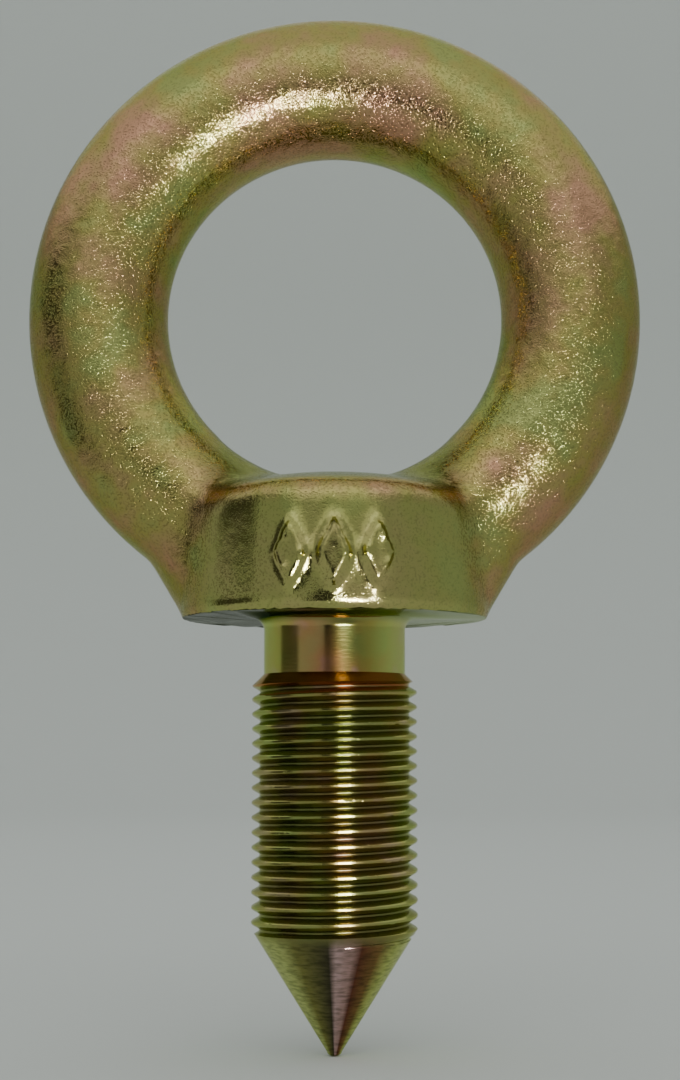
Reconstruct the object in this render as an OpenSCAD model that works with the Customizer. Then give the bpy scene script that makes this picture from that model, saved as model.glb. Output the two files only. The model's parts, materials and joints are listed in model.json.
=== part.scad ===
// Forged lifting eye bolt: a ring and its collar forged in one piece with a screw shank, which is
// turned to a relieved neck, a fine thread and a cone point.
// Origin: the centre of the shoulder face under the collar. +Z runs up the screw axis through the
// eye, X lies across the ring, and Y runs through its hole. All sizes are in millimetres.

/* [Ring] */
// Outside diameter of the ring
ring_od = 75; // [72:0.5:78]
// Inside diameter of the ring, which is the clear eye
ring_id = 41; // [38:0.5:44]
// Height of the ring's centre above the shoulder face
ring_z = 37; // [36:0.5:39]

/* [Collar] */
// Diameter of the collar
collar_d = 37.4; // [35:0.2:40]
// Height of the collar's side
collar_h = 14.4; // [12:0.2:14.8]
// Draft of the collar's side, in degrees
collar_draft = 2; // [0:0.5:4]
// Height of the dome on the collar, which fills the bottom of the eye
dome_z = 17.4; // [17:0.2:19]
// Rounding of the collar's lower rim
rim_r = 1; // [0.5:0.1:1.5]

/* [Shoulders] */
// How far from the screw axis the shoulders meet the shoulder face
shoulder_foot = 18.2; // [17:0.1:18.6]
// Lean of the shoulders out of the collar, in degrees
shoulder_lean = 31; // [25:1:40]
// Length of one shoulder
shoulder_l = 7.5; // [6:0.5:8.5]

/* [Raised mark] */
// Number of raised lozenges on the front of the collar
pip_count = 3; // [1:1:3]
// Width of one lozenge
pip_w = 3.8; // [2:0.2:4.4]
// Height of one lozenge
pip_h = 8; // [4:0.5:9]
// Distance between the centres of two lozenges
pip_pitch = 4.9; // [4.5:0.1:5.5]
// How far the lozenges stand proud of the collar
pip_relief = 0.7; // [0.3:0.1:1]

/* [Neck] */
// Diameter of the plain neck
neck_d = 17; // [16:0.1:17.4]
// Distance from the shoulder face to the end of the plain neck
neck_l = 6.7; // [5:0.1:9]
// Radius of the fillet between the shoulder face and the neck
neck_fillet = 1.5; // [0.5:0.1:2]

/* [Thread] */
// Diameter over the thread crests
thread_d = 19.8; // [19.6:0.05:20]
// Distance from one crest to the next
thread_pitch = 1.75; // [1.5:0.05:2]

/* [Point] */
// Length of the whole shank below the shoulder face
shank_l = 51.5; // [45:0.5:60]
// Length of the cone point
cone_l = 14.8; // [12:0.1:18]
// Diameter of the flat at the end of the cone
tip_d = 1.6; // [1:0.1:3]

/* [Hidden] */

$fn = 128;
forged_colour = "#8f8a4c";
turned_colour = "#a2a052";

ring_section = (ring_od - ring_id) / 2;
ring_mean_r = (ring_od + ring_id) / 4;
collar_r = collar_d / 2;
// the collar's radius at the height z
function collar_r_at(z) = collar_r - z * tan(collar_draft);
// the shoulders are a little thinner than the ring, so that no surface lies in another
shoulder_r = ring_section / 2 - 1;
neck_r = neck_d / 2;
thread_r = thread_d / 2;
// the ring's lowest part ends inside the collar, this far above the shoulder face
ring_cut_z = 2;
// radius of the sphere that passes through the collar's top edge and the top of the dome
dome_rise = dome_z - collar_h;
dome_r = (pow(collar_r_at(collar_h), 2) + pow(dome_rise, 2)) / (2 * dome_rise);
// middle height of the raised mark on the collar's side
pip_z = 6.2;

// external metric profile: 60 degree flanks, crest flat an eighth of the pitch, depth 0.613 pitch
thread_depth = 0.613 * thread_pitch;
root_r = thread_r - thread_depth;
crest_flat = thread_pitch / 8;
flank = thread_depth * tan(30);
// the lead-in cone climbs at 45 degrees from the neck to the crest of the first turn
thread_top = -neck_l - (thread_r - neck_r);
thread_bottom = -(shank_l - cone_l);
turns = floor((thread_top - thread_bottom) / thread_pitch);
// how far the shank reaches up inside the collar
shank_root = 5;
arc_steps = 6;

// points on an arc round (x, z), from angle a0 to angle a1
function arc(x, z, r, a0, a1) =
    [for (i = [0 : arc_steps]) let (a = a0 + (a1 - a0) * i / arc_steps) [x + r * cos(a), z + r * sin(a)]];

// one annular ridge of the thread, from the crest's upper edge down to the next crest
function ridge(z) = [
    [thread_r, z],
    [thread_r, z - crest_flat],
    [root_r, z - crest_flat - flank],
    [root_r, z - thread_pitch + flank]
];

// the forged ring, cut off where it has merged into the collar
module ring() {
    color(forged_colour)
    difference() {
        translate([0, 0, ring_z])
            rotate([90, 0, 0])
                rotate_extrude()
                    translate([ring_mean_r, 0])
                        circle(d = ring_section);
        translate([-ring_od, -ring_od, ring_cut_z - 2 * ring_od])
            cube(2 * ring_od);
    }
}

// the round collar, with its rounded lower rim and the shallow dome at the bottom of the eye
module collar() {
    color(forged_colour)
    intersection() {
        rotate_extrude()
            polygon(concat(
                [[0, 0]],
                arc(collar_r - rim_r, rim_r, rim_r, -90, 0),
                [[collar_r_at(dome_z + 1), dome_z + 1], [0, dome_z + 1]]
            ));
        translate([0, 0, dome_z - dome_r])
            sphere(r = dome_r);
    }
}

// the thicker mass where the ring lands on the collar: a short round bar leans out of each side
module shoulders() {
    color(forged_colour)
    for (side = [-1, 1])
        translate([side * (shoulder_foot - shoulder_r * cos(shoulder_lean) + shoulder_l / 2 * sin(shoulder_lean)), 0,
                   shoulder_r * sin(shoulder_lean) + shoulder_l / 2 * cos(shoulder_lean)])
            rotate([0, side * shoulder_lean, 0])
                cylinder(r = shoulder_r, h = shoulder_l, center = true);
}

// a row of raised lozenges round the front of the collar
module raised_mark() {
    color(forged_colour)
    intersection() {
        cylinder(r1 = collar_r + pip_relief, r2 = collar_r_at(collar_h) + pip_relief, h = collar_h);
        for (i = [0 : pip_count - 1])
            translate([(i - (pip_count - 1) / 2) * pip_pitch, 0, pip_z])
                rotate([90, 0, 0])
                    linear_extrude(collar_d)
                        polygon([[-pip_w / 2, 0], [0, -pip_h / 2], [pip_w / 2, 0], [0, pip_h / 2]]);
    }
}

// the turned shank: fillet, neck, lead-in cone, thread and cone point on one axis; the ridges are
// annular, so the wall over their crests is a true cylinder at the thread's real diameter
module shank() {
    color(turned_colour)
    rotate_extrude()
        polygon(concat(
            [[0, shank_root], [neck_r + neck_fillet, shank_root]],
            arc(neck_r + neck_fillet, -neck_fillet, neck_fillet, 90, 180),
            [[neck_r, -neck_l]],
            [for (i = [0 : turns - 1]) each ridge(thread_top - i * thread_pitch)],
            [[thread_r, thread_top - turns * thread_pitch], [thread_r, thread_bottom]],
            [[tip_d / 2, -shank_l], [0, -shank_l]]
        ));
}

module eye_bolt() {
    ring();
    collar();
    shoulders();
    raised_mark();
    shank();
}

eye_bolt();
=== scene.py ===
# %% [markdown]
# # A forged lifting eye bolt
# The bolt is one piece of carbon steel. A ring and a round collar are drop forged in one blow of the
# dies, then the seat under the collar, the neck, the thread and the point are turned on a lathe, and
# the whole piece is plated with yellow chromated zinc. It has no joints, so one mesh replaces the one
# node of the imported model, and it rides on the row's only body.

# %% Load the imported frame
import json
import math

import bpy
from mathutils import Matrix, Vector


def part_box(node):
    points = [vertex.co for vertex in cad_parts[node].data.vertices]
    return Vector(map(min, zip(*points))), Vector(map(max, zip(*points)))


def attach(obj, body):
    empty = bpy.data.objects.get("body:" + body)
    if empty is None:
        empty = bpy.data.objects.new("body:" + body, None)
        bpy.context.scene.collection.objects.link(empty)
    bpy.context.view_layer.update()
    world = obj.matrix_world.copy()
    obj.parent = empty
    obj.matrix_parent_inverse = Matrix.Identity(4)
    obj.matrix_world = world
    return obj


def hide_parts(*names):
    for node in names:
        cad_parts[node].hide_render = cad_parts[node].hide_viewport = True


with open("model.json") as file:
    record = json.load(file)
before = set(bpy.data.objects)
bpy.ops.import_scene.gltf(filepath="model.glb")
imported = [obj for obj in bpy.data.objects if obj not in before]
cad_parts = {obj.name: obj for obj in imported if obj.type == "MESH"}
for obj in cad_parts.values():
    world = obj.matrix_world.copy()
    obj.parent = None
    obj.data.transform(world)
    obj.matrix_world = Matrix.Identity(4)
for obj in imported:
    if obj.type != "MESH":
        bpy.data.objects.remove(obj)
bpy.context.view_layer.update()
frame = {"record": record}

node_low, node_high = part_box("eye_bolt")
mounts = {mount["name"]: mount for mount in frame["record"]["mounts"]}

# %% [markdown]
# ## Driving dimensions
# Blender counts in metres, and a bolt is drawn in millimetres, so MM turns one into the other. The frame
# gives the overall sizes: the ring's outside and the point's end from the node's box, the eye's centre
# and the thread's radius from the mounts. Each detail's own size is named beside the step that makes it.

# %% Sizes taken from the frame
MM = 0.001
ring_outer = node_high.x
ring_z = mounts["eye"]["pos_m"][2]
ring_inner = 20.5 * MM
collar_r = node_high.y
thread_r = mounts["thread"]["dims"]["r_mm"] * MM
tip_z = node_low.z
tube_r = (ring_outer - ring_inner) / 2
tube_path_r = (ring_outer + ring_inner) / 2

print("tube radius in mm:", round(tube_r / MM, 2), "path radius:", round(tube_path_r / MM, 2))

# %% [markdown]
# ## Small helpers
# The frame leaves its nodes selected, and every operator acts on what is selected, so each step starts
# by deselecting everything. A finished mesh keeps its place in its vertices, so a primitive's own
# location, turn and scale are applied at once. Parts of a mesh are chosen in code, by place or normal.

# %% Select, apply and edit
def deselect():
    if bpy.context.object and bpy.context.object.mode != "OBJECT":
        bpy.ops.object.mode_set(mode="OBJECT")
    bpy.ops.object.select_all(action="DESELECT")


def make_active(piece):
    deselect()
    piece.select_set(True)
    bpy.context.view_layer.objects.active = piece


def apply_transform(piece):
    make_active(piece)
    bpy.ops.object.transform_apply(location=True, rotation=True, scale=True)


def edit(piece, what="FACE"):
    make_active(piece)
    bpy.ops.object.mode_set(mode="EDIT")
    bpy.ops.mesh.select_mode(type=what)
    bpy.ops.mesh.select_all(action="DESELECT")
    bpy.ops.object.mode_set(mode="OBJECT")


def select_parts(parts, chosen):
    for part in parts:
        part.select = chosen(part)
    bpy.ops.object.mode_set(mode="EDIT")


# %% [markdown]
# ## The ring
# The ring is a round bar bent into a circle by the dies: a torus, turned so that its hole runs along
# Y. A circle spun round an axis would give the same shape. The torus is quicker and closed from the
# start. Its lowest part has flowed into the collar, so a bisect cuts it off inside the collar.

# %% Model the ring
ring_cut_z = 2 * MM
deselect()
bpy.ops.mesh.primitive_torus_add(
    major_segments=160, minor_segments=56, major_radius=tube_path_r, minor_radius=tube_r,
    location=(0, 0, ring_z), rotation=(math.pi / 2, 0, 0))
ring = bpy.context.object
ring.name = "ring_blank"
apply_transform(ring)
edit(ring, "VERT")
select_parts(ring.data.vertices, lambda v: True)
bpy.ops.mesh.bisect(plane_co=(0, 0, ring_cut_z), plane_no=(0, 0, 1), clear_inner=True, use_fill=True)
deselect()
print("ring:", len(ring.data.polygons), "faces")

# %% [markdown]
# ## The collar
# The collar is a disc with a shallow dome that fills the bottom of the eye. It starts as a cylinder
# that reaches a little below the seat, because the seat is machined later. Its top is drawn in by the
# draft, the slight taper that lets a forging leave its die.

# %% Start the collar
collar_h = 14.4 * MM
draft = math.radians(2)
under_seat = 0.8 * MM
deselect()
bpy.ops.mesh.primitive_cylinder_add(
    vertices=160, radius=collar_r, depth=collar_h + under_seat,
    location=(0, 0, (collar_h - under_seat) / 2))
collar = bpy.context.object
collar.name = "collar_blank"
apply_transform(collar)
edit(collar)
select_parts(collar.data.polygons, lambda f: f.normal.z > 0.9)
top_r = collar_r - collar_h * math.tan(draft)
bpy.ops.transform.resize(value=(top_r / collar_r, top_r / collar_r, 1), center_override=(0, 0, collar_h))
print("collar radius in mm, at the seat and at the top:", collar_r / MM, round(top_r / MM, 2))

# %% [markdown]
# ## The dome
# The dome is part of a large sphere through the collar's top edge. The top face, which is still
# selected, is inset again and again, and each inset is lifted to the sphere's height at its radius.

# %% Raise the dome
dome_z = 17.4 * MM
dome_rise = dome_z - collar_h
dome_r = (top_r ** 2 + dome_rise ** 2) / (2 * dome_rise)
dome_steps = 9
height = collar_h
for step in range(1, dome_steps):
    bpy.ops.mesh.inset(thickness=top_r / dome_steps, use_even_offset=False)
    r = top_r * (1 - step / dome_steps)
    new_height = dome_z - dome_r + math.sqrt(dome_r ** 2 - r ** 2)
    bpy.ops.transform.translate(value=(0, 0, new_height - height))
    height = new_height
deselect()
print("collar:", len(collar.data.polygons), "faces, dome up to", round(height / MM, 2), "mm")

# %% [markdown]
# ## The collar's edges
# A die has no sharp corners, so both rims of the collar are round. The lower one keeps only part of its
# radius once the seat has been machined.

# %% Round the collar's edges
rim_round = 1.8 * MM


def rim_edges(z):
    vertices = collar.data.vertices
    def on_rim(edge):
        a, b = (vertices[i].co for i in edge.vertices)
        return all(abs(p.z - z) < 1e-6 and p.xy.length > top_r - 1e-6 for p in (a, b))
    return on_rim


for rim_z in (-under_seat, collar_h):
    edit(collar, "EDGE")
    select_parts(collar.data.edges, rim_edges(rim_z))
    bpy.ops.mesh.bevel(offset=rim_round, offset_type="OFFSET", segments=8, profile=0.5)
    deselect()
print("collar after bevels:", len(collar.data.polygons), "faces")

# %% [markdown]
# ## The shoulders
# Where the ring lands on the collar the forging is thicker than the bar, so that the outline runs down
# to the collar's lower edge in a steep slope. A short round bar as thick as the ring, which leans out
# of each side of the collar, gives that mass. Moving the ring's own vertices outwards would do it too,
# but a bar keeps the slope straight and its two numbers, foot and lean, are easy to read.

# %% Model the shoulders
shoulders = []
slope_foot = 18.2 * MM
lean = math.radians(31)
shoulder_l = 8 * MM
for side in (-1, 1):
    out = slope_foot - tube_r * math.cos(lean) + shoulder_l / 2 * math.sin(lean)
    up = tube_r * math.sin(lean) + shoulder_l / 2 * math.cos(lean)
    deselect()
    bpy.ops.mesh.primitive_cylinder_add(
        vertices=56, radius=tube_r, depth=shoulder_l, location=(out * side, 0, up),
        rotation=(0, lean * side, 0))
    shoulder = bpy.context.object
    apply_transform(shoulder)
    shoulders.append(shoulder)
print("shoulders:", len(shoulders))

# %% [markdown]
# ## The raised mark
# Forgings carry raised marks that were sunk into the die. This one is a plain row of three upright
# lozenges, each a four-sided cylinder with softened edges, standing round the front of the collar.
# An inset in each front face, pushed out a little, makes the middle of the lozenge stand highest.

# %% Model the lozenges
pips = []
pip_w, pip_h, pip_pitch, pip_z = 3.6 * MM, 8 * MM, 4.9 * MM, 6.2 * MM
pip_relief = 0.6 * MM
pip_l = 4 * MM
pip_bevel, pip_border, pip_step = 0.45 * MM, 0.75 * MM, 0.35 * MM
for place in (-1, 0, 1):
    turn = place * pip_pitch / collar_r
    deselect()
    bpy.ops.mesh.primitive_cylinder_add(
        vertices=4, radius=1, depth=1, location=(0, 0, 0), rotation=(math.pi / 2, 0, 0))
    pip = bpy.context.object
    pip.scale = (pip_w / 2, pip_h / 2, pip_l)
    apply_transform(pip)
    edit(pip)
    select_parts(pip.data.polygons, lambda f: f.normal.y < -0.9)
    bpy.ops.mesh.bevel(offset=pip_bevel, segments=2)
    bpy.ops.mesh.inset(thickness=pip_border)
    bpy.ops.transform.translate(value=(0, -pip_step, 0))
    deselect()
    front = collar_r + pip_relief - pip_l / 2
    pip.location = (front * math.sin(turn), -front * math.cos(turn), pip_z)
    pip.rotation_euler = (0, 0, turn)
    apply_transform(pip)
    pips.append(pip)
print("raised mark:", len(pips), "lozenges")

# %% [markdown]
# ## One forged skin
# On the real forging the ring, the collar and the mark are one skin with no seams. The blanks are
# joined and a voxel remesh wraps them in one surface of small even faces. A boolean union would keep
# every seam sharp. The voxels are about as small as the bolt's share of triangles allows. The remesh
# also leaves four loose crumbs beside the mark, each about a hundredth of a millimetre across.

# %% Join and remesh the blanks
def modify(piece, kind, **settings):
    make_active(piece)
    modifier = piece.modifiers.new(kind.lower(), kind)
    for name, value in settings.items():
        setattr(modifier, name, value)
    bpy.ops.object.modifier_apply(modifier=modifier.name)


voxel = 0.52 * MM
make_active(ring)
for blank in (collar, *shoulders, *pips):
    blank.select_set(True)
bpy.ops.object.join()
head = ring
head.name = "forged_eye_bolt"
modify(head, "REMESH", mode="VOXEL", voxel_size=voxel, adaptivity=0)
print("remeshed head:", len(head.data.polygons), "faces")

# %% [markdown]
# ## Forged fillets
# Hot steel fills the die's rounded corners, so ring and collar meet in fillets. Smoothing rounds a
# crease and leaves flat places alone, and a vertex group says how strongly it acts on each point: fully
# where both the ring's and the collar's surface are near, less on the outline, which has to stay.

# %% How near a point is to the crease
fillet_reach = 8 * MM
crease_low, crease_high, crease_clear = 1 * MM, 22 * MM, 6 * MM


def outside_ring(p):
    across = math.hypot(p.x, p.z - ring_z) - tube_path_r
    return math.hypot(across, p.y) - tube_r


def outside_collar(p):
    return max(p.xy.length - collar_r, p.z - dome_z)


def crease_weight(p):
    if p.z < crease_low or p.z > crease_high or p.xy.length < crease_clear:
        return 0.0
    gap = max(abs(outside_ring(p)), abs(outside_collar(p)))
    towards_outline = (math.hypot(p.x, p.z - ring_z) - tube_path_r) / tube_r
    keep_outline = max(0.12, min(1.0, 1.6 - 1.6 * towards_outline))
    return max(0.0, min(1.0, 1.6 - 1.6 * gap / fillet_reach)) * keep_outline


print("the fillets reach", fillet_reach / MM, "mm from the crease")

# %% Smooth the creases, the mark and the skin
mark_half_w, mark_front, mark_low = 8 * MM, -15 * MM, 1.2 * MM


def mark_weight(p):
    return 1.0 if abs(p.x) < mark_half_w and p.y < mark_front and p.z > mark_low else 0.0


def weight_group(piece, name, weight):
    group = piece.vertex_groups.new(name=name)
    for v in piece.data.vertices:
        w = weight(v.co)
        if w > 0:
            group.add([v.index], w, "REPLACE")
    return name


near_crease = weight_group(head, "crease", crease_weight)
modify(head, "SMOOTH", factor=0.5, iterations=100, vertex_group=near_crease)
near_mark = weight_group(head, "mark", mark_weight)
modify(head, "SMOOTH", factor=0.5, iterations=5, vertex_group=near_mark)
modify(head, "SMOOTH", factor=0.5, iterations=2)
head.vertex_groups.clear()
print("head box in mm:", [round(v / MM, 2) for v in head.dimensions])

# %% [markdown]
# ## The machined seat
# The bolt bears on the face under its collar, so that face is turned flat and square to the screw. One
# bisect at the frame's origin takes off what is below it and fills the cut with a flat face.

# %% Machine the seat under the collar
edit(head, "VERT")
select_parts(head.data.vertices, lambda v: True)
bpy.ops.mesh.bisect(plane_co=(0, 0, 0), plane_no=(0, 0, 1), clear_inner=True, use_fill=True)
deselect()
print("head with its seat:", len(head.data.polygons), "faces")

# %% [markdown]
# ## The turned shank
# A lathe makes every section round, so the shank starts as a disc inside the collar. Each station down
# the axis is one extrude and one resize: the fillet, the neck, the lead-in cone, the screw, the point.

# %% Stations down the neck
neck_r = 8.5 * MM
neck_l = 6.7 * MM
neck_fillet = 1.5 * MM
shank_root = 4 * MM
overlap = 0.03 * MM
stations = [(shank_root, neck_r + neck_fillet)]
fillet_steps = 8
for step in range(fillet_steps + 1):
    angle = math.pi / 2 * step / fillet_steps
    stations.append((overlap - neck_fillet * (1 - math.cos(angle)),
                     neck_r + neck_fillet * (1 - math.sin(angle))))
print("neck stations:", len(stations))

# %% Stations down the screw and the point
cone_l = 14.8 * MM
tip_r = 0.9 * MM
tip_h = tip_r * 0.6
tip_end_r = 0.05 * MM
lead_in = thread_r - neck_r
cone_top = tip_z + cone_l
stations += [(-neck_l, neck_r), (-neck_l - lead_in, thread_r), (cone_top, thread_r)]
tip_steps = 5
for step in range(tip_steps + 1):
    angle = math.pi / 2 * step / tip_steps
    stations.append((tip_z + tip_h * (1 - math.sin(angle)), max(tip_r * math.cos(angle), tip_end_r)))
print("all stations:", len(stations))

# %% Turn the shank
round_steps = 128
deselect()
start_z, start_r = stations[0]
bpy.ops.mesh.primitive_circle_add(
    vertices=round_steps, radius=start_r, fill_type="NGON", location=(0, 0, start_z))
shank = bpy.context.object
shank.name = "shank_blank"
apply_transform(shank)
bpy.ops.object.mode_set(mode="EDIT")
bpy.ops.mesh.select_mode(type="FACE")
bpy.ops.mesh.select_all(action="SELECT")
for z, r in stations[1:]:
    bpy.ops.mesh.extrude_region_move(TRANSFORM_OT_translate={"value": (0, 0, z - start_z)})
    bpy.ops.transform.resize(value=(r / start_r, r / start_r, 1), center_override=(0, 0, z))
    start_z, start_r = z, r
bpy.ops.mesh.select_all(action="SELECT")
bpy.ops.mesh.normals_make_consistent(inside=False)
deselect()
print("shank:", len(shank.data.polygons), "faces")

# %% [markdown]
# ## The screw thread
# The thread is cut the way a lathe tool cuts it: a tool with 60 degree flanks follows a right-hand
# helix and a boolean takes its path out of the shank. The tool starts in the air beside the neck,
# whose wall it clears, and leaves through the cone, so both ends run out by themselves. The tool's
# section starts as a plane whose four corners are the flanks' ends.

# %% Shape the tool
pitch = 1.75 * MM
thread_depth = 0.54 * pitch
root_r = thread_r - thread_depth
crest_flat = 0.12 * pitch
crest_round = 0.14 * MM
flank_rise = math.tan(math.radians(30))
mouth_half = (pitch - crest_flat) / 2 - crest_round * 1.2
root_half = mouth_half - (thread_depth - crest_round) * flank_rise
tool_back = 1.2 * MM
deselect()
bpy.ops.mesh.primitive_plane_add(size=1)
tool = bpy.context.object
tool.name = "thread_tool"
for v in tool.data.vertices:
    at_root = v.co.x < 0
    side = 1 if v.co.y > 0 else -1
    half = root_half if at_root else mouth_half
    v.co = (root_r if at_root else thread_r - crest_round, 0, side * half)
print("thread depth in mm:", round(thread_depth / MM, 3), "root radius:", round(root_r / MM, 3))

# %% Give the tool its back and its round nose
root_round = 0.1 * MM
edit(tool, "EDGE")
mouth = max(v.co.x for v in tool.data.vertices)
select_parts(tool.data.edges, lambda e: all(tool.data.vertices[i].co.x > mouth - 1e-7 for i in e.vertices))
flare = (mouth_half + crest_round * 1.2) / mouth_half
bpy.ops.mesh.extrude_region_move(TRANSFORM_OT_translate={"value": (crest_round, 0, 0)})
bpy.ops.transform.resize(value=(1, 1, flare), center_override=(0, 0, 0))
bpy.ops.mesh.extrude_region_move(TRANSFORM_OT_translate={"value": (tool_back, 0, 0)})
bpy.ops.mesh.select_mode(type="FACE")
bpy.ops.mesh.select_all(action="SELECT")
bpy.ops.mesh.dissolve_faces()
deselect()
print("tool section:", len(tool.data.vertices), "corners,", len(tool.data.polygons), "face")
edit(tool, "VERT")
select_parts(tool.data.vertices, lambda v: v.co.x < root_r + 1e-7)
bpy.ops.mesh.bevel(offset=root_round, segments=3, affect="VERTICES")
bpy.ops.mesh.select_all(action="SELECT")
bpy.ops.mesh.delete(type="ONLY_FACE")
deselect()
print("rounded section:", len(tool.data.vertices), "corners")

# %% [markdown]
# ## The helix
# A Screw modifier carries the section round the axis and down one pitch a turn. The two open ends of
# its path are then filled, because a boolean needs a closed tool.

# %% Wind the tool's path
tool_top = -4.5 * MM
tool_end = tip_z + 6 * MM
tool_turns = math.ceil((tool_top - tool_end) / pitch)
tool.location = (0, 0, tool_top - tool_turns * pitch)
apply_transform(tool)
modify(tool, "SCREW", axis="Z", angle=2 * math.pi, screw_offset=pitch, iterations=tool_turns,
       steps=round_steps, render_steps=round_steps, use_merge_vertices=True, merge_threshold=1e-7)
edit(tool, "VERT")
select_parts(tool.data.vertices, lambda v: True)
bpy.ops.mesh.fill_holes(sides=0)
bpy.ops.mesh.select_all(action="SELECT")
bpy.ops.mesh.normals_make_consistent(inside=False)
deselect()
print("tool:", tool_turns, "turns,", len(tool.data.polygons), "faces")

# %% [markdown]
# ## Cutting and welding
# One boolean takes the tool's path out of the shank, and a second joins head and shank. This join isn't
# clean: the shank's root stays inside the head, out of sight, and edges where the fillet leaves the seat
# belong to more than two faces, so the mesh isn't one closed shell. The skin is then shaded smooth, and
# edges sharper than 38 degrees, such as the seat's rim, stay crisp.

# %% Cut the thread
modify(shank, "BOOLEAN", operation="DIFFERENCE", object=tool, solver="EXACT")
bpy.data.objects.remove(tool)
print("threaded shank:", len(shank.data.polygons), "faces")

# %% Weld the shank to the head
modify(head, "BOOLEAN", operation="UNION", object=shank, solver="EXACT")
bpy.data.objects.remove(shank)
bolt = head
make_active(bolt)
bpy.ops.object.shade_smooth_by_angle(angle=math.radians(38))
bolt.data.update()
triangles = sum(len(face.vertices) - 2 for face in bolt.data.polygons)
print("bolt:", len(bolt.data.polygons), "faces,", triangles, "triangles")

# %% [markdown]
# ## Colours and nodes
# Hex colours are sRGB, as a paint chart gives them, and Blender's sockets want linear values. One
# function turns one into the other, and one function adds a shader node with its settings and links.
# A noise's Scale counts cells in a metre, so it is one divided by the size of the real feature.

# %% Colour and node helpers
def linear(hex_colour):
    channels = [int(hex_colour[i:i + 2], 16) / 255 for i in (1, 3, 5)]
    return [c / 12.92 if c <= 0.04045 else ((c + 0.055) / 1.055) ** 2.4 for c in channels] + [1]


def add_node(tree, kind, inputs=None, **settings):
    node = tree.nodes.new("ShaderNode" + kind)
    for name, value in settings.items():
        setattr(node, name, value)
    for key, value in (inputs or {}).items():
        if isinstance(value, bpy.types.NodeSocket):
            tree.links.new(value, node.inputs[key])
        else:
            node.inputs[key].default_value = value
    return node


def set_ramp(ramp_node, *stops):
    ramp = ramp_node.color_ramp
    while len(ramp.elements) < len(stops):
        ramp.elements.new(0.5)
    for element, (position, hex_colour) in zip(ramp.elements, stops):
        element.position = position
        element.color = linear(hex_colour)


def per_metre(feature):
    return 1 / feature


print("mid grey in linear light:", round(linear("#808080")[0], 3))

# %% [markdown]
# ## Where a point lies on the bolt
# Both finishes change from place to place, and both start with the same measures: the point itself, its
# three coordinates and its distance from the screw axis, all in the bolt's own frame.

# %% Start a finish
def start_finish(name):
    finish = bpy.data.materials.new(name)
    finish.use_nodes = True
    tree = finish.node_tree
    place = add_node(tree, "TexCoord").outputs["Object"]
    axes = add_node(tree, "SeparateXYZ", {"Vector": place}).outputs
    square_x = add_node(tree, "Math", {0: axes["X"], 1: axes["X"]}, operation="MULTIPLY").outputs[0]
    square = add_node(tree, "Math", {0: axes["Y"], 1: axes["Y"], 2: square_x}, operation="MULTIPLY_ADD")
    from_axis = add_node(tree, "Math", {0: square.outputs[0], 1: 0.5}, operation="POWER").outputs[0]
    return finish, tree, place, axes, from_axis


print("each finish knows a point's place, its coordinates and its distance from the screw axis")

# %% [markdown]
# ## Yellow zinc on the forging
# The plating is zinc with a yellow chromate film, a passive layer that forms in a bath. The film is thin
# enough to show interference tints, so one colour is never right: it turns from yellow-green round the
# ring's rim and in its eye to tan on its front and back. That turn is partly the film's own tint and
# partly painted reflection: the yellow-green stands for the bright grazing reflection where the bar is
# seen edge-on. A single hex colour would look like paint.

# %% Tint across the bar, partly painted reflection
forged, tree, place, axes, from_axis = start_finish("yellow_zinc_on_blasted_forging")
cloud_size = 14 * MM
warp_reach = 1.6 * MM
from_middle = add_node(tree, "Math", {0: axes["Y"]}, operation="ABSOLUTE").outputs[0]
clouds = add_node(tree, "TexNoise", {"Vector": place, "Scale": per_metre(cloud_size), "Detail": 2.5,
                                     "Roughness": 0.55}).outputs["Fac"]
warp = add_node(tree, "MapRange", {"Value": clouds, "From Min": 0.3, "From Max": 0.7,
                                   "To Min": -warp_reach, "To Max": warp_reach})
warped = add_node(tree, "Math", {0: from_middle, 1: warp.outputs[0]}, operation="ADD")
across = add_node(tree, "Math", {0: warped.outputs[0], 1: tube_r}, operation="DIVIDE")
# Painted reflection in part: the ramp's yellow-green at the rim and in the eye stands for a bright grazing
# reflection.
tint = add_node(tree, "ValToRGB", {"Fac": across.outputs[0]})
set_ramp(tint, (0.0, "#a8b46c"), (0.22, "#7e8a46"), (0.5, "#948446"), (0.8, "#ac9c62"), (1.0, "#aa9864"))
print("tint bends by up to", warp_reach / MM, "mm")

# %% [markdown]
# ## Clouds in the film
# The bath leaves the film thicker in one place than in another, so green, olive, tan and pink clouds
# about a centimetre wide lie over the tint. The Mapping node only chooses which part of the noise shows.

# %% Clouds of colour
patch_size = 11 * MM
patches = add_node(tree, "Mapping", {"Vector": place, "Location": (0.31, 0.17, 0.43)})
patch_noise = add_node(tree, "TexNoise", {"Vector": patches.outputs[0], "Scale": per_metre(patch_size),
                                          "Detail": 3, "Roughness": 0.6})
patch_tint = add_node(tree, "ValToRGB", {"Fac": patch_noise.outputs["Fac"]})
set_ramp(patch_tint, (0.36, "#809c4c"), (0.46, "#989040"), (0.54, "#a88658"), (0.64, "#c07c70"))
tinted = add_node(tree, "Mix", {0: 0.55, 6: tint.outputs["Color"], 7: patch_tint.outputs["Color"]},
                  data_type="RGBA").outputs[2]
print("clouds of", patch_size / MM, "mm")
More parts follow.
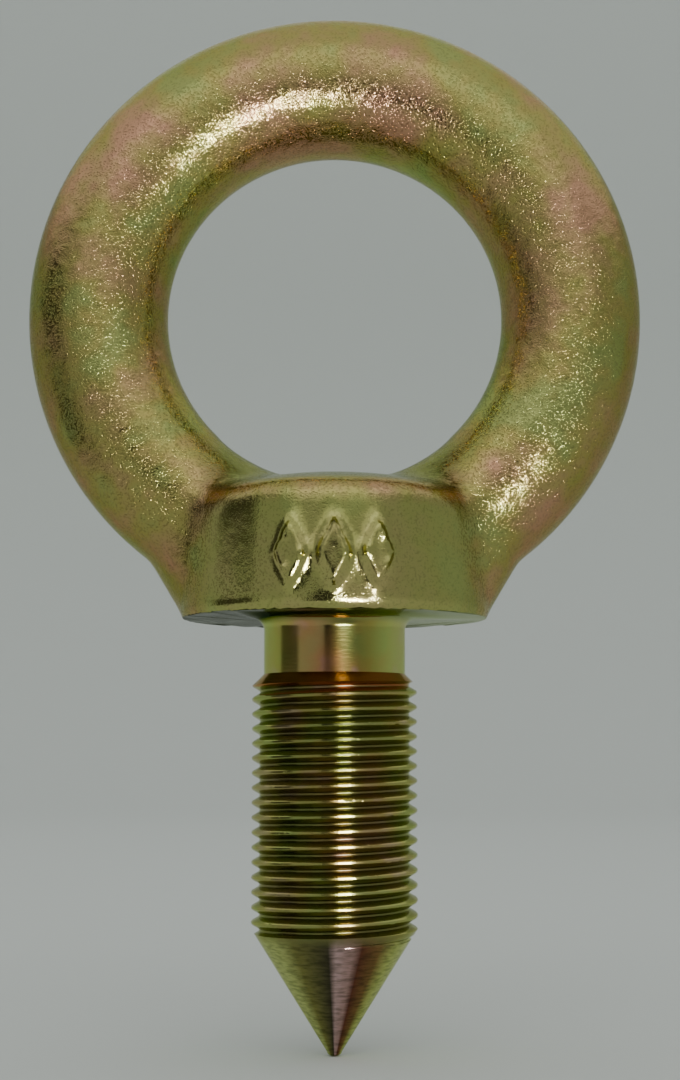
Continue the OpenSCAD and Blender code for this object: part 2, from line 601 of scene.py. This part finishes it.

# %% [markdown]
# ## Dome and collar
# The dome at the bottom of the eye is painted darker and greener, as painted shade, and the front and
# back of the collar are drawn lighter and greener. Each is a mix with one colour, and its mask is a
# product of soft steps in height and in distance.

# %% Painted shade on the dome
above = add_node(tree, "MapRange", {"Value": axes["Z"], "From Min": collar_h - 0.5 * MM,
                                    "From Max": collar_h + 0.6 * MM})
inside = add_node(tree, "MapRange", {"Value": from_axis, "From Min": 18 * MM, "From Max": 14 * MM})
under_eye = add_node(tree, "MapRange", {"Value": axes["Z"], "From Min": 26 * MM, "From Max": 20 * MM})
dome_shade_mask = add_node(tree, "Math", {0: above.outputs[0], 1: inside.outputs[0]}, operation="MULTIPLY")
dome_shade_mask = add_node(tree, "Math", {0: dome_shade_mask.outputs[0], 1: under_eye.outputs[0]}, operation="MULTIPLY")
# Painted shade: the dome at the bottom of the eye is mixed towards a darker green.
with_dome_shade = add_node(tree, "Mix", {0: dome_shade_mask.outputs[0], 6: tinted, 7: linear("#747c40")},
                     data_type="RGBA").outputs[2]
print("the dome's colour starts", round((collar_h - 0.5 * MM) / MM, 2), "mm above the seat")

# %% Lighter collar
below = add_node(tree, "MapRange", {"Value": axes["Z"], "From Min": collar_h - 0.6 * MM,
                                    "From Max": collar_h - 2.6 * MM, "To Max": 0.6})
facing = add_node(tree, "MapRange", {"Value": from_middle, "From Min": 9 * MM, "From Max": 12 * MM})
on_collar = add_node(tree, "Math", {0: below.outputs[0], 1: facing.outputs[0]},
                     operation="MULTIPLY").outputs[0]
with_collar = add_node(tree, "Mix", {0: on_collar, 6: with_dome_shade, 7: linear("#a8b064")},
                       data_type="RGBA").outputs[2]
print("the collar's colour starts", round((collar_h - 0.6 * MM) / MM, 2), "mm above the seat")

# %% [markdown]
# ## The blasted skin
# Before plating the forging is cleaned with steel shot, which leaves an orange peel of small pits. Each
# pit is painted a little darker, as shade in it, and as a bump it breaks a highlight into sparks. The pits
# are drawn about a quarter of a millimetre wide, a little coarser than real shot marks, so that they show.
# A slow ripple under them is the unevenness of the die. On the collar's flat wall the relief is weaker.

# %% Pits and the painted shade in them
pit_size = 0.28 * MM
grain = add_node(tree, "TexNoise", {"Vector": place, "Scale": per_metre(pit_size), "Detail": 1,
                                    "Roughness": 0.5}).outputs["Fac"]
pits = add_node(tree, "MapRange", {"Value": grain, "From Min": 0.5, "From Max": 0.68},
                interpolation_type="SMOOTHSTEP").outputs[0]
# Painted shade: each pit darkens the colour a little, and the rest is lifted slightly.
pit_shade = add_node(tree, "MapRange", {"Value": pits, "To Min": 1.03, "To Max": 0.82})
colour = add_node(tree, "Mix", {0: 1.0, 6: with_collar, 7: pit_shade.outputs[0]},
                  data_type="RGBA", blend_type="MULTIPLY").outputs[2]
print("pits of", pit_size / MM, "mm")

# %% Relief of the skin
ripple_size = 1.6 * MM
ripple = add_node(tree, "TexNoise", {"Vector": place, "Scale": per_metre(ripple_size), "Detail": 1})
soft_relief = add_node(tree, "Math", {0: ripple.outputs["Fac"], 1: 2.2, 2: grain},
                       operation="MULTIPLY_ADD")
relief = add_node(tree, "Math", {0: pits, 1: -0.7, 2: soft_relief.outputs[0]}, operation="MULTIPLY_ADD")
peel_strength = add_node(tree, "MapRange", {"Value": on_collar, "From Max": 0.6, "To Min": 1.0,
                                            "To Max": 0.22})
peel = add_node(tree, "Bump", {"Strength": peel_strength.outputs[0], "Distance": 0.058 * MM,
                               "Height": relief.outputs[0]}).outputs[0]
print("ripple of", ripple_size / MM, "mm")

# %% [markdown]
# ## Gloss of the plated forging
# Zinc is a metal, so Metallic is one and the colour tints the reflections. At grazing angles they turn
# to the Specular Tint. The clear film lies over the metal as a thin coat with its own whitish gloss.

# %% Shade the forging
gloss = add_node(tree, "MapRange", {"Value": clouds, "From Min": 0.3, "From Max": 0.7,
                                    "To Min": 0.11, "To Max": 0.16})
shader = tree.nodes["Principled BSDF"]
shader.inputs["Metallic"].default_value = 1
shader.inputs["Specular Tint"].default_value = linear("#d6d8ae")
shader.inputs["Coat Weight"].default_value = 0.3
shader.inputs["Coat Roughness"].default_value = 0.12
tree.links.new(colour, shader.inputs["Base Color"])
tree.links.new(gloss.outputs[0], shader.inputs["Roughness"])
tree.links.new(peel, shader.inputs["Normal"])
tree.links.new(peel, shader.inputs["Coat Normal"])
print("forged finish:", len(tree.nodes), "nodes")

# %% [markdown]
# ## Yellow zinc on the turned steel
# The seat, neck, thread and point are cut bright before plating. The film is the same, but the steel
# under it is smooth with fine tool marks, so it shows tall stripes of light and dark. Lights alone
# didn't give stripes as deep as they should be, so part of each stripe is drawn into the colour, by
# how far across X a point lies. These stripes stay on the metal when the viewer walks round it, which
# a true reflection would not do. The front and the back show them best.

# %% Painted stripes of reflection and shade on the neck
turned, tree, place, axes, from_axis = start_finish("yellow_zinc_on_turned_steel")
sideways = add_node(tree, "Math", {0: axes["X"], 1: from_axis}, operation="DIVIDE")
across = add_node(tree, "Math", {0: sideways.outputs[0], 1: 0.5, 2: 0.5},
                  operation="MULTIPLY_ADD").outputs[0]
# Painted reflection and shade: light and dark stripes across X, drawn into the neck's colour.
neck_painted_stripes = add_node(tree, "ValToRGB", {"Fac": across})
set_ramp(neck_painted_stripes, (0.0, "#c4d484"), (0.1, "#b4c25c"), (0.28, "#c09464"), (0.4, "#b4785c"),
         (0.5, "#7a4a2a"), (0.6, "#30200f"), (0.74, "#9c883e"), (0.88, "#bccc70"), (1.0, "#ccdc98"))
print("neck stripes:", len(neck_painted_stripes.color_ramp.elements))

# %% Painted stripes on the thread
thread_from = -neck_l - 0.9 * MM
# Painted reflection and shade: lighter edges and a darker middle across X.
thread_painted_stripes = add_node(tree, "ValToRGB", {"Fac": across})
set_ramp(thread_painted_stripes, (0.0, "#aab470"), (0.25, "#949460"), (0.5, "#8a7c52"), (0.6, "#908466"),
         (0.75, "#a09064"), (1.0, "#aab470"))
on_thread = add_node(tree, "MapRange", {"Value": axes["Z"], "From Min": thread_from,
                                        "From Max": thread_from - 1 * MM}).outputs[0]
tint = add_node(tree, "Mix", {0: on_thread, 6: neck_painted_stripes.outputs["Color"],
                              7: thread_painted_stripes.outputs["Color"]}, data_type="RGBA").outputs[2]
print("the thread's colour starts at", round(thread_from / MM, 2), "mm")

# %% Clouds on the turned steel
band_size = 6 * MM
bands = add_node(tree, "TexNoise", {"Vector": place, "Scale": per_metre(band_size),
                                    "Detail": 3}).outputs["Fac"]
band_tint = add_node(tree, "ValToRGB", {"Fac": bands})
set_ramp(band_tint, (0.36, "#8aa458"), (0.46, "#9c9850"), (0.54, "#a88c50"), (0.64, "#b48490"))
banded = add_node(tree, "Mix", {0: 0.4, 6: tint, 7: band_tint.outputs["Color"]},
                  data_type="RGBA").outputs[2]
print("clouds of", band_size / MM, "mm")

# %% [markdown]
# ## Seat and lead-in cone
# The seat under the collar lies in its own shade and looks green, and that shade is painted into its
# colour: dark on the left, with a painted highlight near the middle and lighter on the right. The short
# cone that leads into the first turn of the thread is drawn orange.

# %% Painted shade on the seat
near_seat = add_node(tree, "MapRange", {"Value": axes["Z"], "From Min": -0.9 * MM,
                                        "From Max": -0.1 * MM, "To Max": 0.85}).outputs[0]
# Painted shade and highlight: dark on the left, a light band near the middle, lighter on the right.
seat_painted_shade = add_node(tree, "ValToRGB", {"Fac": across})
set_ramp(seat_painted_shade, (0.0, "#46583c"), (0.35, "#5c6c38"), (0.62, "#9ca85c"), (0.8, "#909a68"),
         (1.0, "#a0aa88"))
with_seat = add_node(tree, "Mix", {0: near_seat, 6: banded, 7: seat_painted_shade.outputs["Color"]},
                     data_type="RGBA").outputs[2]
print("seat tints:", len(seat_painted_shade.color_ramp.elements))

# %% Orange lead-in cone
cone_half = 0.8 * MM
on_lead_in = add_node(tree, "Math", {0: axes["Z"], 1: -neck_l - cone_half, 2: cone_half},
                      operation="COMPARE").outputs[0]
with_lead_in = add_node(tree, "Mix", {0: on_lead_in, 6: with_seat, 7: linear("#b0683a")},
                        data_type="RGBA").outputs[2]
print("orange from", round(-neck_l / MM, 2), "to", round((-neck_l - 2 * cone_half) / MM, 2), "mm")

# %% [markdown]
# ## The point
# Tool marks cover all that is turned and show most on the point, as thin rings, lighter and darker. The
# noise is stretched five times in X and Y, which draws it out into rings. Real marks are finer, so these
# are drawn as coarse as they need to be to show.

# %% Tool marks
mark_size = 0.28 * MM
marks_place = add_node(tree, "Mapping", {"Vector": place, "Scale": (0.2, 0.2, 1)})
marks = add_node(tree, "TexNoise", {"Vector": marks_place.outputs[0], "Scale": per_metre(mark_size),
                                    "Detail": 2}).outputs["Fac"]
streaks = add_node(tree, "ValToRGB", {"Fac": marks})
set_ramp(streaks, (0.35, "#b4b2ac"), (0.5, "#dcd8d2"), (0.65, "#f2ecec"))
print("tool marks of", mark_size / MM, "mm")

# %% Painted stripes on the point
# Painted reflection, shade and highlight: yellow-green edges, a dark stripe, a pale pink highlight streak
# and a brown stripe across X.
point_painted_stripes = add_node(tree, "ValToRGB", {"Fac": across})
set_ramp(point_painted_stripes, (0.0, "#d8e4a0"), (0.13, "#ccd888"), (0.24, "#8c8c4c"), (0.46, "#4c4834"),
         (0.51, "#d4b4b4"), (0.62, "#c4a09c"), (0.68, "#744430"), (0.8, "#8c6c3c"), (0.9, "#c8d47c"),
         (1.0, "#dce8a8"))
streaked = add_node(tree, "Mix", {0: 1.0, 6: point_painted_stripes.outputs["Color"], 7: streaks.outputs["Color"]},
                    data_type="RGBA", blend_type="MULTIPLY")
on_point = add_node(tree, "MapRange", {"Value": axes["Z"], "From Min": cone_top,
                                       "From Max": cone_top - 1.5 * MM}).outputs[0]
with_point = add_node(tree, "Mix", {0: on_point, 6: with_lead_in, 7: streaked.outputs[2]},
                      data_type="RGBA").outputs[2]
print("the point's colour starts at", round(cone_top / MM, 2), "mm")

# %% [markdown]
# ## Shade in the grooves
# Less light reaches the bottom of a groove. The renderer works most of that out, and a ramp from the
# thread's root to its crest deepens it, on the thread only.

# %% Darken the grooves
groove = add_node(tree, "MapRange", {"Value": from_axis, "From Min": root_r, "From Max": thread_r})
groove_shade = add_node(tree, "ValToRGB", {"Fac": groove.outputs[0]})
set_ramp(groove_shade, (0.0, "#b4b4a6"), (0.35, "#c6c6b8"), (0.75, "#dcdacc"), (0.95, "#fffff0"))
in_groove = add_node(tree, "Mix", {0: on_thread, 6: (1, 1, 1, 1), 7: groove_shade.outputs["Color"]},
                     data_type="RGBA")
off_point = add_node(tree, "Mix", {0: on_point, 6: in_groove.outputs[2], 7: (1, 1, 1, 1)},
                     data_type="RGBA")
turned_colour = add_node(tree, "Mix", {0: 1.0, 6: with_point, 7: off_point.outputs[2]},
                         data_type="RGBA", blend_type="MULTIPLY").outputs[2]
print("grooves from radius", round(root_r / MM, 2), "to", round(thread_r / MM, 2), "mm")

# %% [markdown]
# ## Gloss of the turned steel
# It is shaded like the forging, with the tool marks for relief. The seat is seen at a grazing angle,
# where a metal takes its Specular Tint, so near the seat that tint carries painted shade, dark on the
# left and lighter on the right, and the coat fades out.

# %% Edge tint with painted shade, and coat near the seat
# Painted shade in the Specular Tint near the seat: dark on the left, lighter on the right.
seat_edge_painted_shade = add_node(tree, "ValToRGB", {"Fac": across})
set_ramp(seat_edge_painted_shade, (0.0, "#3c4434"), (0.5, "#46503a"), (0.8, "#98a284"), (1.0, "#d0d8bc"))
edge_tint_with_seat_shade = add_node(tree, "Mix", {0: near_seat, 6: linear("#e2e8b8"), 7: seat_edge_painted_shade.outputs["Color"]},
                     data_type="RGBA").outputs[2]
coat = add_node(tree, "MapRange", {"Value": near_seat, "To Min": 0.25, "To Max": 0.0}).outputs[0]
print("edge tints:", len(seat_edge_painted_shade.color_ramp.elements))

# %% Shade the turned steel
tool_marks = add_node(tree, "Bump", {"Strength": 0.6, "Distance": 0.01 * MM, "Height": marks}).outputs[0]
gloss = add_node(tree, "MapRange", {"Value": bands, "From Min": 0.3, "From Max": 0.7,
                                    "To Min": 0.14, "To Max": 0.24})
shader = tree.nodes["Principled BSDF"]
shader.inputs["Metallic"].default_value = 1
shader.inputs["Coat Roughness"].default_value = 0.12
tree.links.new(turned_colour, shader.inputs["Base Color"])
tree.links.new(edge_tint_with_seat_shade, shader.inputs["Specular Tint"])
tree.links.new(gloss.outputs[0], shader.inputs["Roughness"])
tree.links.new(tool_marks, shader.inputs["Normal"])
tree.links.new(coat, shader.inputs["Coat Weight"])
tree.links.new(tool_marks, shader.inputs["Coat Normal"])
print("turned finish:", len(tree.nodes), "nodes")

# %% [markdown]
# ## Two finishes on one bolt
# The lathe reached everything at and below the seat, so a face's height says which finish it takes.

# %% Put the two finishes on the bolt
seat_margin = 0.01 * MM
bolt.data.materials.clear()
bolt.data.materials.append(forged)
bolt.data.materials.append(turned)
for face in bolt.data.polygons:
    face.material_index = 1 if face.center.z < seat_margin else 0
print("turned faces:", sum(face.material_index for face in bolt.data.polygons))

# %% [markdown]
# ## Camera
# The camera stands in front of the bolt, a little lower than the seat, and looks slightly upwards. It is
# near, so the ring and the collar show a little of their undersides.

# %% Place the camera
camera_data = bpy.data.cameras.new("camera")
camera = bpy.data.objects.new("camera", camera_data)
bpy.context.collection.objects.link(camera)
camera_data.lens = 60.8
camera_data.clip_start = 0.005
camera_data.clip_end = 20
camera_tilt = math.radians(6.45)
camera.location = (0.66 * MM, -220 * MM, -15.3 * MM)
camera.rotation_euler = (math.pi / 2 + camera_tilt, 0, 0)
bpy.context.scene.camera = camera
print("camera at", [round(v / MM, 2) for v in camera.location], "mm, lens", camera_data.lens)

# %% [markdown]
# ## Studio
# A round cove: a floor that curves up into a wall, so every side view has a plain ground. It is a disc
# whose rim is extruded along a quarter circle. Its paint is quite matt, so it shows no lamp.

# %% Floor and cove
floor_z = tip_z
floor_r, cove_r, wall_top = 0.8, 0.4, 0.75
deselect()
bpy.ops.mesh.primitive_circle_add(vertices=96, radius=floor_r, fill_type="NGON", location=(0, 0, floor_z))
floor = bpy.context.object
floor.name = "studio_floor"
apply_transform(floor)
edit(floor, "EDGE")
bpy.ops.object.mode_set(mode="EDIT")
bpy.ops.mesh.select_all(action="SELECT")
cove_steps = 10
profile = []
for step in range(1, cove_steps + 1):
    angle = math.pi / 2 * step / cove_steps
    profile.append((floor_r + cove_r * math.sin(angle), cove_r * (1 - math.cos(angle))))
profile.append((floor_r + cove_r, wall_top))
last_r, last_z = floor_r, 0
for r, z in profile:
    bpy.ops.mesh.extrude_edges_move(TRANSFORM_OT_translate={"value": (0, 0, z - last_z)})
    bpy.ops.transform.resize(value=(r / last_r, r / last_r, 1), center_override=(0, 0, floor_z + z))
    last_r, last_z = r, z
make_active(floor)
bpy.ops.object.shade_smooth()
print("floor:", len(floor.data.polygons), "faces")

# %% Matt materials of the studio
def matt(name, hex_colour, roughness):
    surface = bpy.data.materials.new(name)
    surface.use_nodes = True
    sockets = surface.node_tree.nodes["Principled BSDF"].inputs
    sockets["Base Color"].default_value = linear(hex_colour)
    sockets["Roughness"].default_value = roughness
    return surface


paint = matt("pale_studio_paint", "#d2d6d2", 0.9)
paint.node_tree.nodes["Principled BSDF"].inputs["Specular IOR Level"].default_value = 0
grey_felt = matt("grey_flag_felt", "#5c5a54", 1.0)
black_felt = matt("black_flag_felt", "#2c2b28", 1.0)
floor.data.materials.append(paint)
print("studio materials:", paint.name, grey_felt.name, black_felt.name)

# %% [markdown]
# ## Light
# A round bar of metal shows whatever stands round it. One small softbox low on the right makes the
# sparks, a broad dim one above fills the faces, and grey and black flags make the dark stripes that
# polished metal needs. The camera doesn't see the flags, and they and the small softbox act on the
# bolt's reflections only, so the floor shows no patch of light and no shadow of a card.

# %% Softboxes
def aim(thing, location, target):
    thing.location = location
    thing.rotation_euler = (Vector(location) - Vector(target)).to_track_quat("Z", "Y").to_euler()


def softbox(name, location, target, width, height, radiance):
    light = bpy.data.lights.new(name, "AREA")
    light.shape = "RECTANGLE"
    light.size = width
    light.size_y = height
    light.energy = radiance * math.pi * width * height
    lamp = bpy.data.objects.new(name, light)
    bpy.context.collection.objects.link(lamp)
    aim(lamp, location, target)
    lamp.visible_camera = False
    return lamp


eye_centre = (0, 0, ring_z)
key = softbox("key_softbox", (0.050, -0.187, -0.038), eye_centre, 0.062, 0.019, 84)
key.visible_diffuse = False
ceiling = softbox("ceiling_softbox", (0, -0.45, 0.36), eye_centre, 0.7, 0.45, 0.45)
print("softboxes in watts:", round(key.data.energy, 3), round(ceiling.data.energy, 3))

# %% Flags
def flag(name, location, target, width, height, felt):
    deselect()
    bpy.ops.mesh.primitive_plane_add(size=1)
    card = bpy.context.object
    card.name = name
    card.scale = (width, height, 1)
    aim(card, location, target)
    apply_transform(card)
    card.visible_camera = False
    card.visible_diffuse = False
    card.visible_shadow = False
    card.data.materials.append(felt)


flag("low_left_flag", (-0.24, -0.06, -0.018), (0, -0.06, -0.018), 0.16, 0.066, grey_felt)
flag("high_left_flag", (-0.24, -0.06, 0.09), (0, -0.06, 0.09), 0.16, 0.09, grey_felt)
flag("camera_flag", (-0.012, -0.232, -0.007), (-0.012, 0, -0.007), 0.108, 0.062, black_felt)
flag("low_front_flag", (0.02, -0.205, -0.036), (0.02, 0, -0.036), 0.16, 0.030, black_felt)

# %% Even light from all round
world = bpy.data.worlds.new("studio")
bpy.context.scene.world = world
world.use_nodes = True
background = world.node_tree.nodes["Background"]
background.inputs["Color"].default_value = linear("#d6d9d8")
background.inputs["Strength"].default_value = 1.15
print("world strength:", round(background.inputs["Strength"].default_value, 2))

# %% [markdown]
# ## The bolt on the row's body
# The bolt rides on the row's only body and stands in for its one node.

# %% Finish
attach(bolt, "root")
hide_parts("eye_bolt")
